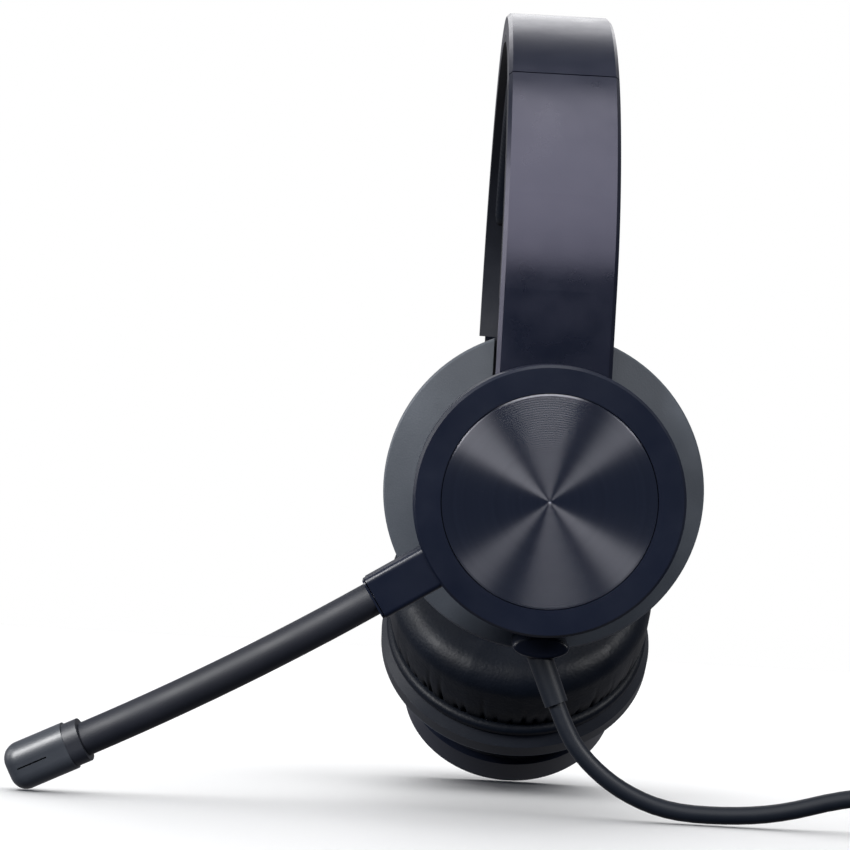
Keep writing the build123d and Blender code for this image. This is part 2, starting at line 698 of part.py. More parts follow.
def coil_outline():
    """The put-away length of the lead: two layers of turns, lying on the floor."""
    reach = COIL_TURNS * CORD_DIAMETER / 2
    outer = COIL_MIDDLE_RADIUS + reach
    inner = COIL_MIDDLE_RADIUS - reach
    height = COIL_LAYERS * CORD_DIAMETER
    coil = Pos(*COIL_CENTRE, 0) * ring(outer, inner, 0, height)
    print("coil holds", round(COIL_LAYERS * COIL_TURNS * 2 * math.pi * COIL_MIDDLE_RADIUS))
    return fillet(coil.edges().filter_by(GeomType.CIRCLE), CORD_DIAMETER / 2 - 0.1)


def coil_tie():
    """The hook-and-loop strap round the coil's bundle."""
    width = COIL_TURNS * CORD_DIAMETER + 0.4
    height = COIL_LAYERS * CORD_DIAMETER + TIE_THICKNESS
    band = Box(width + 2 * TIE_THICKNESS, TIE_WIDTH, height)
    hole = Box(width, TIE_WIDTH + 2, height - 2 * TIE_THICKNESS)
    place = Pos(*COIL_CENTRE, height / 2) * Rot(0, 0, TIE_ANGLE) * Pos(COIL_MIDDLE_RADIUS, 0, 0)
    return place * (band - hole)


def plug_frame():
    """The USB plug's frame: X along it, out of its mouth, from where the lead goes in."""
    along_plug = Vector(*TAIL[-1]) - Vector(*TAIL[-2])
    heading = math.degrees(math.atan2(along_plug.Y, along_plug.X))
    return Location(TAIL[-1], (0, 0, heading))


def plug_body():
    """The plug's moulded body, with its tapered boot."""
    long, wide, high = PLUG_SIZE
    boot = Rot(0, 90, 0) * Cone(RELIEF_END_RADIUS, PLUG_BOOT_RADIUS, PLUG_BOOT_LENGTH, align=ON_BASE)
    body = Pos(PLUG_BOOT_LENGTH + long / 2, 0, 0) * Box(long, wide, high)
    body = fillet(body.edges().filter_by(Axis.X), PLUG_FILLET)
    return plug_frame() * (body + boot)


def plug_shell():
    """The plug's metal shell, an open box of folded sheet."""
    long, wide, high = PLUG_SHELL_SIZE
    wall = 2 * PLUG_SHELL_WALL
    shell = Box(long, wide, high) - Pos(PLUG_SHELL_WALL, 0, 0) * Box(long, wide - wall, high - wall)
    for side in (-1, 1):
        shell -= Pos(2.0, side * wide / 4, high / 2) * Box(*PLUG_WINDOW)
    start = PLUG_BOOT_LENGTH + PLUG_SIZE[0]
    return plug_frame() * (Pos(start + long / 2, 0, 0) * shell)


def plug_tongue():
    """The plastic tongue that carries the plug's contacts."""
    long, wide, high = PLUG_SHELL_SIZE
    start = PLUG_BOOT_LENGTH + PLUG_SIZE[0] + PLUG_SHELL_WALL
    reach = long - TONGUE_SINK
    tongue = Box(reach, wide - 2 * PLUG_SHELL_WALL - 0.1, TONGUE_THICKNESS)
    return plug_frame() * (Pos(start + reach / 2, 0, -TONGUE_DROP) * tongue)


# ---- putting it together ------------------------------------------------------------------------------

def cup_plane(side, tilt, extension):
    """Where a cup sits: its cap's face, hung on its arm's hinge."""
    y, z = hinge_point()
    lean = SEAM_ANGLE + SLIDE_CANT
    y += extension * sine(lean)
    z -= extension * cosine(lean)
    cant = ARM_TAPER + tilt
    up = Vector(0, sine(cant), cosine(cant))
    inward = Vector(0, -cosine(cant), sine(cant))
    origin = Vector(0, y, z) - up * HINGE_HEIGHT - inward * HINGE_DEPTH
    flip = Vector(1, side, 1)
    place = [Vector(v.X * flip.X, v.Y * flip.Y, v.Z * flip.Z) for v in (origin, inward)]
    return Plane(origin=place[0], x_dir=(side, 0, 0), z_dir=place[1])


LEFT_CUP = cup_plane(LEFT, LEFT_TILT, 0)
RIGHT_CUP = cup_plane(RIGHT, RIGHT_TILT, RIGHT_EXTENSION)
PULLED_OUT = Pos(
    0,
    RIGHT_EXTENSION * sine(SEAM_ANGLE + SLIDE_CANT),
    -RIGHT_EXTENSION * cosine(SEAM_ANGLE + SLIDE_CANT),
)


def on_left(solid):
    """A piece drawn for the right side, mirrored to the left."""
    return mirror(solid, about=Plane.XZ)


def cup_pieces():
    """The pieces that both cups have, by name."""
    return {
        "cup_shell": cup_shell(),
        "hinge_pin": hinge_hole(PIN_RADIUS - 0.01),
        "trim_disc": trim_disc(),
        "cap_back": cap_back(),
        "hub_clip": hub_clip(),
        "baffle": baffle(),
        "baffle_screws": baffle_screws(),
        "cushion_ring": cushion_ring(),
        "ear_cushion": ear_cushion(),
        "driver_frame": driver_frame(),
        "driver_magnet": driver_magnet(),
        "driver_diaphragm": driver_diaphragm(),
        "ear_mesh": ear_mesh(),
    }


def boom_pieces():
    """The pieces of the microphone boom that turn about the left cup."""
    return {
        "boom_cap": boom_cap(),
        "stub_collar": stub_collar(),
        "boom_sleeve": boom_sleeve(),
        "boom_core": boom_core(),
        "mic_collar": mic_collar(),
        "mic_housing": mic_housing(),
        "mic_element": mic_element(),
    }


def headset_pieces():
    """Every piece but the lead, by node name, as the headset stands."""
    arm = {"arm_cover": arm_cover(), "arm_liner": arm_liner(), "slide_strip": slide_strip()}
    cup = cup_pieces()
    pieces = {
        "headband_shell": headband_shell(),
        "headband_liner": headband_liner(),
        "headband_spring": headband_spring(),
        "headband_pad": headband_pad(),
        "headband_screws": headband_screws(),
        "right_slide_guide": slide_guide(),
        "left_slide_guide": on_left(slide_guide()),
        "terminal_board": LEFT_CUP * terminal_board(),
        "cable_boss": LEFT_CUP * cable_boss(cup["cup_shell"]),
        "right_cap_ring": RIGHT_CUP * cap_ring(),
    }
    for name, solid in boom_pieces().items():
        pieces[name] = LEFT_CUP * solid
    for name, solid in arm.items():
        pieces["left_" + name] = on_left(solid)
        pieces["right_" + name] = PULLED_OUT * solid
    for name, solid in cup.items():
        pieces["left_" + name] = LEFT_CUP * solid
        pieces["right_" + name] = RIGHT_CUP * solid
    return {name: STAND * solid for name, solid in pieces.items()}


def lead_pieces(boss):
    """The lead's free stretches, coil, tie and plug."""
    return {
        "strain_relief": strain_relief(boss),
        "cable": cord_tube("cable", ROUTE),
        "cable_coil": coil_outline(),
        "coil_tie": coil_tie(),
        "cable_tail": cord_tube("cable tail", TAIL),
        "plug_body": plug_body(),
        "plug_shell": plug_shell(),
        "plug_tongue": plug_tongue(),
    }


def main():
    os.makedirs("parts", exist_ok=True)
    pieces = headset_pieces()
    pieces.update(lead_pieces(pieces["cable_boss"]))
    for name, solid in pieces.items():
        export_step(solid, f"parts/{name}.step")


main()
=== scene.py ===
import bpy
import json
import math
import random
from mathutils import Matrix, Vector


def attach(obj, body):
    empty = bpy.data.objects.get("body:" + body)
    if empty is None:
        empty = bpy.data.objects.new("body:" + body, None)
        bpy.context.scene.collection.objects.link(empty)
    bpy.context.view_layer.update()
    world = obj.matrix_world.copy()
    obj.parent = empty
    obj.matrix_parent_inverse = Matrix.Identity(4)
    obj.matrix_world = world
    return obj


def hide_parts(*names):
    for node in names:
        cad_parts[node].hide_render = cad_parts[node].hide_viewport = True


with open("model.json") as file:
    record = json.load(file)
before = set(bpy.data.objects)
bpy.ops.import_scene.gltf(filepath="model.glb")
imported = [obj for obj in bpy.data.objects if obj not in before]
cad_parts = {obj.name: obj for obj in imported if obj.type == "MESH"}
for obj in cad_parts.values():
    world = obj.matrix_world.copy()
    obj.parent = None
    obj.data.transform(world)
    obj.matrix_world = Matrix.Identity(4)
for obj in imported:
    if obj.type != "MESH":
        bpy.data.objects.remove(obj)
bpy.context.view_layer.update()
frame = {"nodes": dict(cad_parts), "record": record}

# Metres, in the frame's own axes: +Z up, the wearer faces -X, the left cup is the one at -Y.
RECORD = frame["record"]
MOUNTS = {mount["name"]: mount for mount in RECORD["mounts"]}

# ---- camera --------------------------------------------------------------------------------------

CAMERA_PLACE = (0.0122, -0.5198, 0.0395)
CAMERA_PITCH = 5.9          # degrees up
CAMERA_ROLL = 3.2
CAMERA_LENS = 84.7
CAMERA_SENSOR = 36.0


def add_camera():
    data = bpy.data.cameras.new("camera")
    data.sensor_width = CAMERA_SENSOR
    data.lens = CAMERA_LENS
    data.clip_start = 0.01
    camera = bpy.data.objects.new("camera", data)
    bpy.context.scene.collection.objects.link(camera)
    pitch = Matrix.Rotation(math.radians(90 + CAMERA_PITCH), 4, "X")
    roll = Matrix.Rotation(math.radians(CAMERA_ROLL), 4, "Z")
    camera.matrix_world = Matrix.Translation(CAMERA_PLACE) @ pitch @ roll
    bpy.context.scene.camera = camera


add_camera()

# ---- material building blocks --------------------------------------------------------------------

MIX_FIRST = 6               # the Mix node's two colour sockets, by number, and its colour output
MIX_SECOND = 7
MIX_RESULT = 2


class Surface:
    """A material under construction: its nodes, its links and its Principled shader."""

    def __init__(self, name, colour, roughness, **constants):
        self.material = bpy.data.materials.new(name)
        self.material.use_nodes = True
        self.material.diffuse_color = (*colour, 1)
        self.tree = self.material.node_tree
        self.shader = self.tree.nodes["Principled BSDF"]
        self.shader.inputs["Base Color"].default_value = (*colour, 1)
        self.shader.inputs["Roughness"].default_value = roughness
        for socket, value in constants.items():
            self.shader.inputs[socket.replace("_", " ")].default_value = value
        self.colour = colour
        self.roughness = roughness
        self.normal = None
        self.place = self.tree.nodes.new("ShaderNodeTexCoord").outputs["Object"]

    def node(self, kind, inputs=(), **settings):
        """Adds a node; inputs are (socket, value or another node's output)."""
        node = self.tree.nodes.new(kind)
        for name, value in settings.items():
            setattr(node, name, value)
        for socket, value in inputs:
            if isinstance(value, bpy.types.NodeSocket):
                self.tree.links.new(value, node.inputs[socket])
            else:
                node.inputs[socket].default_value = value
        return node

    def noise(self, scale, detail=4.0, roughness=0.55, place=None):
        inputs = [("Vector", place or self.place), ("Scale", scale), ("Detail", detail)]
        return self.node("ShaderNodeTexNoise", inputs + [("Roughness", roughness)]).outputs["Fac"]

    def ranged(self, value, low, high, start=0.3, end=0.7):
        """Spreads a value between start and end over low to high."""
        inputs = [("Value", value), ("From Min", start), ("From Max", end)]
        inputs += [("To Min", low), ("To Max", high)]
        return self.node("ShaderNodeMapRange", inputs).outputs["Result"]

    def mixed(self, factor, first, second):
        """A colour between two, each a plain colour or another node's output."""
        inputs = [(0, factor)]
        for socket, colour in ((MIX_FIRST, first), (MIX_SECOND, second)):
            inputs.append((socket, (*colour, 1) if isinstance(colour, tuple) else colour))
        return self.node("ShaderNodeMix", inputs, data_type="RGBA").outputs[MIX_RESULT]

    def maths(self, operation, first, second=0.0):
        return self.node("ShaderNodeMath", [(0, first), (1, second)], operation=operation).outputs[0]

    def bump(self, height, distance, strength=1.0):
        """Adds a layer of relief, distance high."""
        inputs = [("Height", height), ("Distance", distance), ("Strength", strength)]
        node = self.node("ShaderNodeBump", inputs)
        if self.normal:
            self.tree.links.new(self.normal, node.inputs["Normal"])
        self.normal = node.outputs["Normal"]
        self.tree.links.new(self.normal, self.shader.inputs["Normal"])

    def set(self, socket, value):
        self.tree.links.new(value, self.shader.inputs[socket])

    def drift(self, scale, amount):
        """Lets the colour drift a little, lighter and darker."""
        light = tuple(channel * (1 + amount) for channel in self.colour)
        dark = tuple(channel * (1 - amount) for channel in self.colour)
        self.set("Base Color", self.mixed(self.ranged(self.noise(scale), 0, 1), dark, light))

    def sheen_drift(self, scale, amount):
        """Lets the roughness vary, as handled plastic does."""
        low = self.roughness - amount
        high = self.roughness + amount
        self.set("Roughness", self.ranged(self.noise(scale, 6.0), low, high))


def moulded(name, colour, roughness, grain, relief, **constants):
    """Moulded plastic with a fine eroded grain, a faint drift of colour and a handled sheen."""
    surface = Surface(name, colour, roughness, **constants)
    surface.drift(45, 0.12)
    surface.sheen_drift(90, 0.05)
    surface.bump(surface.noise(1 / grain, 2.0), relief)
    return surface


def brushed(name, colour, roughness, stretch):
    """Rolled steel: fine lines along one direction."""
    surface = Surface(name, colour, roughness, Metallic=1.0)
    mapping = surface.node("ShaderNodeMapping", [("Vector", surface.place), ("Scale", stretch)])
    lines = surface.noise(1.0, 3.0, place=mapping.outputs["Vector"])
    surface.bump(lines, 0.00002)
    surface.set("Roughness", surface.ranged(lines, roughness - 0.08, roughness + 0.08))
    surface.drift(60, 0.08)
    return surface


# ---- materials: colour, roughness, size of the grain and height of its relief --------------------

GROOVE_PITCH = 0.0005       # between the disc's turned grooves
GROOVE_HEIGHT = 0.0000035
LOOP_PITCH = 0.0009         # between the knitted loops of the ear cloth


def band_plastic():
    return moulded("band_plastic", (0.0015, 0.0028, 0.0068), 0.30, 0.00035, 0.000012,
                   Specular_IOR_Level=0.6, Specular_Tint=(0.82, 0.78, 1.0, 1.0))


def cap_plastic():
    return moulded("cap_plastic", (0.0028, 0.0045, 0.0112), 0.38, 0.0003, 0.00001,
                   Specular_IOR_Level=0.3)


def shell_plastic(name="shell_plastic"):
    return moulded(name, (0.037, 0.043, 0.053), 0.5, 0.00045, 0.00003)


def mic_plastic():
    return moulded("mic_plastic", (0.020, 0.023, 0.029), 0.42, 0.00035, 0.00002)


def inner_plastic():
    return moulded("inner_plastic", (0.006, 0.0072, 0.0115), 0.5, 0.0005, 0.00002)


def cone_film():
    return moulded("cone_film", (0.05, 0.05, 0.055), 0.3, 0.0008, 0.00001)


def spun_metal():
    """Anodised disc, turned: fine grooves round the middle smear each light into a fan."""
    surface = Surface("disc_metal", (0.32, 0.32, 0.35), 0.21, Metallic=1.0, Anisotropic=0.97,
                      Anisotropic_Rotation=0.25)
    tangent = surface.node("ShaderNodeTangent", direction_type="RADIAL", axis="Z")
    surface.tree.links.new(tangent.outputs["Tangent"], surface.shader.inputs["Tangent"])
    split = surface.node("ShaderNodeSeparateXYZ", [("Vector", surface.place)])
    across = surface.maths("POWER", split.outputs["X"], 2.0)
    up = surface.maths("POWER", split.outputs["Y"], 2.0)
    radius = surface.maths("SQRT", surface.maths("ADD", across, up))
    groove = surface.maths("SINE", surface.maths("MULTIPLY", radius, 2 * math.pi / GROOVE_PITCH))
    surface.bump(groove, GROOVE_HEIGHT)
    outward = surface.node("ShaderNodeCombineXYZ", [("X", surface.maths("MULTIPLY", radius, 900.0))])
    tone = surface.noise(1.0, 3.0, place=outward.outputs["Vector"])
    dark = (0.29, 0.29, 0.32)
    light = (0.35, 0.35, 0.38)
    surface.set("Base Color", surface.mixed(surface.ranged(tone, 0, 1), dark, light))
    return surface


def spring_steel():
    return brushed("spring_steel", (0.42, 0.43, 0.45), 0.32, (4000, 40, 40))


def magnet_metal():
    return brushed("magnet_metal", (0.6, 0.6, 0.62), 0.25, (60, 3000, 60))


def leatherette():
    """Soft black leatherette: small pebbles with fine creases between them."""
    surface = Surface("leatherette", (0.002, 0.0032, 0.0062), 0.5, Specular_IOR_Level=0.15)
    pebbles = surface.node("ShaderNodeTexVoronoi", [("Vector", surface.place), ("Scale", 1250.0)],
                           feature="SMOOTH_F1")
    creases = surface.noise(420, 6.0, 0.6)
    surface.bump(pebbles.outputs["Distance"], 0.00005)
    surface.bump(creases, 0.00008)
    surface.sheen_drift(120, 0.06)
    surface.drift(70, 0.2)
    return surface


def ear_cloth():
    """Open knit over the loudspeaker: rows of small loops."""
    surface = Surface("ear_cloth", (0.012, 0.012, 0.014), 0.85)
    surface.shader.inputs["Sheen Weight"].default_value = 0.3
    split = surface.node("ShaderNodeSeparateXYZ", [("Vector", surface.place)])
    turns = 2 * math.pi / LOOP_PITCH
    rows = surface.maths("SINE", surface.maths("MULTIPLY", split.outputs["X"], turns))
    columns = surface.maths("SINE", surface.maths("MULTIPLY", split.outputs["Z"], turns))
    knit = surface.maths("MULTIPLY", rows, columns)
    surface.bump(knit, 0.00012)
    shadow = (0.003, 0.003, 0.004)
    thread = (0.022, 0.022, 0.026)
    surface.set("Base Color", surface.mixed(surface.ranged(knit, 0, 1, -0.4, 0.6), shadow, thread))
    return surface


def boom_rubber():
    surface = moulded("boom_rubber", (0.0055, 0.0065, 0.0105), 0.56, 0.0003, 0.00003,
                      Specular_IOR_Level=0.3)
    surface.bump(surface.noise(300, 5.0), 0.00002)
    return surface


def cord_jacket():
    surface = moulded("cord_jacket", (0.003, 0.0045, 0.008), 0.5, 0.0006, 0.00001,
                      Specular_IOR_Level=0.22)
    surface.bump(surface.noise(180, 3.0), 0.00003)
    return surface


def tie_fabric():
    """Woven hook-and-loop strap with a soft nap."""
    surface = Surface("tie_fabric", (0.015, 0.015, 0.016), 0.9)
    surface.shader.inputs["Sheen Weight"].default_value = 0.1
    surface.bump(surface.noise(2500, 3.0), 0.0002)
    surface.drift(400, 0.3)
    return surface


def board():
    """Lacquered circuit board, paler where tracks run under the lacquer."""
    green = (0.01, 0.09, 0.035)
    over_track = (0.03, 0.16, 0.06)
    surface = Surface("board", green, 0.3, Coat_Weight=0.5)
    tracks = surface.node("ShaderNodeTexBrick", [("Vector", surface.place), ("Scale", 300.0)])
    surface.set("Base Color", surface.mixed(tracks.outputs["Fac"], green, over_track))
    surface.bump(tracks.outputs["Fac"], 0.00004)
    return surface


MAKERS = (band_plastic, cap_plastic, shell_plastic, inner_plastic, cone_film, spring_steel, magnet_metal,
          leatherette, ear_cloth, boom_rubber, cord_jacket, tie_fabric, board)
MATERIALS = {maker.__name__: maker().material for maker in MAKERS}
MATERIALS["disc_metal"] = spun_metal().material


# ---- cups: the frame of each, with Z in towards the head -----------------------------------------

FACE_MOUNT_HEIGHT = 0.0265  # the face mounts lie this far above the middle of the cap
RING_EDGE = 0.0243          # depth of the outer ring's edge, where the painted shade on its wall starts
WALL_START = 0.0001         # the grey turns to black painted shade between these two depths behind the edge
WALL_END = 0.0004
# black painted on the ring's wall as shade, for a wall that faces down, away from the lamps
WALL_PAINTED_SHADE = (0.0045, 0.006, 0.010)


def cup_frame(side):
    """The cup's own axes: X forwards on the left and backwards on the right, Y up, Z inwards."""
    mount = MOUNTS[side + "_cap_face"]
    inward = -Vector(mount["axis"]).normalized()
    ahead = Vector((-1, 0, 0)) if side == "left" else Vector((1, 0, 0))
    up = inward.cross(ahead).normalized()
    middle = Vector(mount["pos_m"]) - up * FACE_MOUNT_HEIGHT
    axes = Matrix((ahead, up, inward)).transposed().to_4x4()
    return Matrix.Translation(middle) @ axes


def shell_with_painted_wall_shade(side):
    """The outer ring: grey on its sloped face, black painted shade on the wall behind it."""
    surface = shell_plastic(side + "_shell")
    place = cup_frame(side)
    inward = place.col[2].to_3d()
    edge = inward.dot(place.translation) + RING_EDGE
    inputs = [(0, surface.place), (1, inward)]
    along = surface.node("ShaderNodeVectorMath", inputs, operation="DOT_PRODUCT").outputs["Value"]
    behind = surface.ranged(along, 0, 1, edge + WALL_START, edge + WALL_END)
    grey = surface.shader.inputs["Base Color"].links[0].from_socket
    # the wall behind the edge gets black painted shade instead of the grey
    surface.set("Base Color", surface.mixed(behind, grey, WALL_PAINTED_SHADE))
    return surface.material


def dress_nodes():
    """Gives every CAD node its slot's material, the cup shells their own with painted shade on the wall,
    and the capsule its own.
    """
    for part in RECORD["subparts"]:
        node = frame["nodes"][part["node"]]
        node.data.materials.clear()
        node.data.materials.append(MATERIALS[part["material_slot"]])
    for side in ("left", "right"):
        frame["nodes"][side + "_cup_shell"].data.materials[0] = shell_with_painted_wall_shade(side)
    frame["nodes"]["mic_housing"].data.materials[0] = mic_plastic().material


dress_nodes()

# ---- lead: the free stretch, the coil and the tail, one spline -----------------------------------

CORD_DIAMETER = 0.004
ROUTE = [
    (0.0455, -0.0623, 0.0249),
    (0.0482, -0.0626, 0.0183),
    (0.0530, -0.0631, 0.0122),
    (0.0606, -0.0636, 0.0064),
    (0.0710, -0.0640, 0.0024),
    (0.0840, -0.0643, 0.0020),
    (0.0970, -0.0643, 0.0033),
    (0.1105, -0.0642, 0.0074),
    (0.1260, -0.0640, 0.0093),
    (0.1430, -0.0638, 0.0078),
    (0.1580, -0.0637, 0.0060),
]
TAIL = [
    (0.1940, -0.0320, 0.0020),
    (0.1942, -0.0220, 0.0020),
    (0.1928, -0.0125, 0.0028),
    (0.1902, -0.0040, 0.0040),
    (0.1878, 0.0030, 0.0040),
]
COIL_CENTRE = (0.1620, -0.0317)
COIL_OUTER = 0.032          # middle of the outermost turn
COIL_TURNS = 6              # side by side in each of the two layers
COIL_STEPS = 24             # points in a turn
STEP_SHARE = 0.25           # how much of a turn it takes to step to the next one
COIL_START = -0.25          # where the lead joins the coil, in turns from +X
COIL_LENGTH = 11.25         # turns
UPPER_LAYER = 1.5           # height of the upper layer's middle, in cord diameters


def eased(share):
    return share * share * (3 - 2 * share)


def coil_turn(turn):
    """How many whole steps the cord has made sideways after so many turns."""
    whole = math.floor(turn)
    part = turn - whole
    return whole + eased(max(0.0, (part - 1 + STEP_SHARE) / STEP_SHARE))


def coil_points():
    """In along the upper layer, down at the inside, and out again along the lower one."""
    points = []
    for index in range(1, round(COIL_LENGTH * COIL_STEPS)):
        turn = index / COIL_STEPS
        steps = coil_turn(min(turn, 2 * COIL_TURNS - 1))
        if steps <= COIL_TURNS - 1:
            inward = steps
            height = UPPER_LAYER
        else:
            drop = min(1.0, steps - (COIL_TURNS - 1))
            inward = COIL_TURNS - 1 - max(0.0, steps - COIL_TURNS)
            height = UPPER_LAYER - drop
        radius = COIL_OUTER - inward * CORD_DIAMETER
        angle = 2 * math.pi * (COIL_START + turn)
        points.append((
            COIL_CENTRE[0] + radius * math.cos(angle),
            COIL_CENTRE[1] + radius * math.sin(angle),
            height * CORD_DIAMETER,
        ))
    return points


def add_lead():
    points = ROUTE + coil_points() + TAIL
    data = bpy.data.curves.new("lead", "CURVE")
    data.dimensions = "3D"
    data.bevel_depth = CORD_DIAMETER / 2
    data.bevel_resolution = 6
    data.resolution_u = 4
    data.use_fill_caps = True
    spline = data.splines.new("NURBS")
    spline.points.add(len(points) - 1)
    for point, place in zip(spline.points, points):
        point.co = (*place, 1)
    spline.order_u = 3
    spline.use_endpoint_u = True
    lead = bpy.data.objects.new("lead", data)
    bpy.context.scene.collection.objects.link(lead)
    data.materials.append(MATERIALS["cord_jacket"])
    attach(lead, "left_cup")
    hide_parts("cable", "cable_coil", "cable_tail")


add_lead()

# ---- mesh tools ----------------------------------------------------------------------------------


def add_mesh(name, points, faces, place, slot, own_axes=False):
    """A smooth-shaded piece from its points and faces, whose finish may follow the piece's own axes."""
    data = bpy.data.meshes.new(name)
    data.from_pydata(points, [], faces)
    data.validate()
    data.shade_smooth()
    data.materials.append(MATERIALS[slot])
    piece = bpy.data.objects.new(name, data)
    bpy.context.scene.collection.objects.link(piece)
    if own_axes:
        piece.matrix_world = place
    else:
        data.transform(place)
    return piece


def lathe(profile, count, closed=False, shift=None):
    """Turns (radius, depth) points about Z. shift(angle, index) moves a point's radius and depth."""
    points = []
    for step in range(count):
        angle = 2 * math.pi * step / count
        for index, (radius, depth) in enumerate(profile):
            if shift:
                out, deep = shift(angle, index)
                radius += out
                depth += deep
            points.append((radius * math.cos(angle), radius * math.sin(angle), depth))
    size = len(profile)
    last = size if closed else size - 1
    faces = []
    for step in range(count):
        here = step * size
        there = ((step + 1) % count) * size
        for index in range(last):
            after = (index + 1) % size
            faces.append((here + index, there + index, there + after, here + after))
    return points, faces


def rounded(start, corner, end, radius, steps=8):
    """Points of an arc that rounds a corner of a profile."""
    corner = Vector(corner)
    back = (Vector(start) - corner).normalized()
    ahead = (Vector(end) - corner).normalized()
    half = back.angle(ahead) / 2
    reach = radius / math.tan(half)
    first = corner + back * reach
    last = corner + ahead * reach
    centre = corner + (back + ahead).normalized() * (radius / math.sin(half))
    turn = (first - centre).angle_signed(last - centre)
    points = []
    for step in range(steps + 1):
        share = step / steps
        arm = (first - centre).copy()
        arm.rotate(Matrix.Rotation(-turn * share, 2))
        points.append(tuple(centre + arm))
    return points


# ---- trim discs ----------------------------------------------------------------------------------

DISC_RADIUS = 0.0236
DISC_FACE = 0.0002          # depth under the cap's face
DISC_BACK = 0.0010
DISC_STEPS = 192            # points round the disc
DISC_RINGS = 90             # rings of points on its face
RINGED_WIDTH = 0.0227       # width of the face that the rings divide
DIMPLE_RADIUS = 0.0006
DIMPLE_DEPTH = 0.00008
AXIS_GAP = 0.00002          # the profile stops this far from the axis
RIM_STEP = 0.00002          # spacing of the points that soften the rim


def add_disc(side, body):
    """The spun disc: turned rings, a tiny dimple in the middle and a softened rim."""
    profile = [
        (AXIS_GAP, DISC_FACE + DIMPLE_DEPTH),
        (DIMPLE_RADIUS / 2, DISC_FACE + DIMPLE_DEPTH / 2),
        (DIMPLE_RADIUS, DISC_FACE),
    ]
    for ring in range(1, DISC_RINGS):
        profile.append((DIMPLE_RADIUS + RINGED_WIDTH * ring / DISC_RINGS, DISC_FACE))
    profile += [
        (DISC_RADIUS - 2 * RIM_STEP, DISC_FACE),
        (DISC_RADIUS - RIM_STEP, DISC_FACE + 0.5 * RIM_STEP),
        (DISC_RADIUS, DISC_FACE + 1.5 * RIM_STEP),
        (DISC_RADIUS, DISC_FACE + 3 * RIM_STEP),
        (DISC_RADIUS, DISC_BACK),
        (AXIS_GAP, DISC_BACK),
    ]
    points, faces = lathe(profile, DISC_STEPS, closed=True)
    faces = [face[::-1] for face in faces]
    disc = add_mesh(side + "_spun_disc", points, faces, cup_frame(side), "disc_metal", own_axes=True)
    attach(disc, body)
    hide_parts(side + "_trim_disc")


add_disc("left", "mic_boom")
add_disc("right", "right_cup")

# ---- ear cushions --------------------------------------------------------------------------------

CUSHION_BACK = 0.0347       # depths and radii are in the cup's own axes
CUSHION_FRONT = 0.0549
CUSHION_OUTER = 0.0352
CUSHION_HOLE = 0.0192
CUSHION_STEPS = 720         # points round the ring
SEAM_RADIUS = 0.0338
SEAM_TUCK = 0.0012          # how far the cover turns in behind the seam
SEAM_LIFT = 0.0001
HOLE_LIP = 0.0004           # how far it turns out at the hole's back edge
BULGE_HEIGHT = 0.0075       # the side swells from the seam to its full radius over this height
BULGE_STEPS = 14
WALL_STEP = 0.0012          # spacing of the points on the straight walls
OUTER_ROUNDING = 0.0065
HOLE_ROUNDING = 0.0055
FACE_RADII = (0.0275, 0.0262)   # points across the flat of the face

PLEATS = 58
PLEAT_DEPTH = 0.0013
PLEAT_STRAY = 0.32          # how far a pleat strays from even spacing, in pleats
PLEAT_STRENGTH = (0.45, 1.0)
PLEAT_REACH = (0.0035, 0.0085)
PLEAT_WIDTH = 0.011         # angle at the seam, in radians
PLEAT_WIDENING = 0.006      # wider by this angle at the end of its reach
PLEAT_WINDOW = 0.1          # angle beyond which a pleat is too faint to count
HOLE_PLEAT_SHARE = 0.5      # depth of the pleats at the hole, as a share of the outer ones
HOLE_PLEAT_WIDTH = 0.03
HOLE_PLEAT_WINDOW = 0.14

LONG_WAVE = (0.00012, 5)    # height of the cover's unevenness, and waves round the ring
SHORT_WAVE = (0.00008, 11)
WAVE_FADE = 0.006           # the waves die out over this distance from each seam


def cushion_profile():
    """The cushion's section: from the seam up the outside, over the face and back down the hole."""
    corner = (CUSHION_OUTER, CUSHION_FRONT)
    hole_corner = (CUSHION_HOLE, CUSHION_FRONT)
    profile = [(SEAM_RADIUS - SEAM_TUCK, CUSHION_BACK), (SEAM_RADIUS, CUSHION_BACK + SEAM_LIFT)]
    for step in range(1, BULGE_STEPS + 1):
        share = step / BULGE_STEPS
        bulge = math.sin(share * math.pi / 2)
        radius = SEAM_RADIUS + (CUSHION_OUTER - SEAM_RADIUS) * bulge
        profile.append((radius, CUSHION_BACK + BULGE_HEIGHT * share))
    for step in range(1, 5):
        profile.append((CUSHION_OUTER, CUSHION_BACK + BULGE_HEIGHT + WALL_STEP * step))
    profile += rounded((CUSHION_OUTER, CUSHION_BACK), corner, hole_corner, OUTER_ROUNDING, 12)
    profile += [(radius, CUSHION_FRONT) for radius in FACE_RADII]
    profile += rounded(corner, hole_corner, (CUSHION_HOLE, CUSHION_BACK), HOLE_ROUNDING, 10)
    for step in range(10, 0, -1):
        profile.append((CUSHION_HOLE, CUSHION_BACK + WALL_STEP * step))
    profile.append((CUSHION_HOLE + HOLE_LIP, CUSHION_BACK))
    return profile


def pleat_marks(seed):
    """Where each pleat runs, how deep it is and how far it reaches from the seam."""
    chance = random.Random(seed)
    marks = []
    for pleat in range(PLEATS):
        angle = 2 * math.pi * (pleat + chance.uniform(-PLEAT_STRAY, PLEAT_STRAY)) / PLEATS
        marks.append((angle, chance.uniform(*PLEAT_STRENGTH), chance.uniform(*PLEAT_REACH)))
    return marks


def pleat_dent(marks, angle, distance, width, widening, window):
    """How far the pleats press in at an angle, so far from the seam they start at."""
    dent = 0.0
    for place, depth, reach in marks:
        gap = math.remainder(angle - place, 2 * math.pi)
        if abs(gap) < window:
            spread = width + widening * distance / reach
            dent += depth * math.exp(-(gap / spread) ** 2) * math.exp(-(distance / reach) ** 2)
    return dent


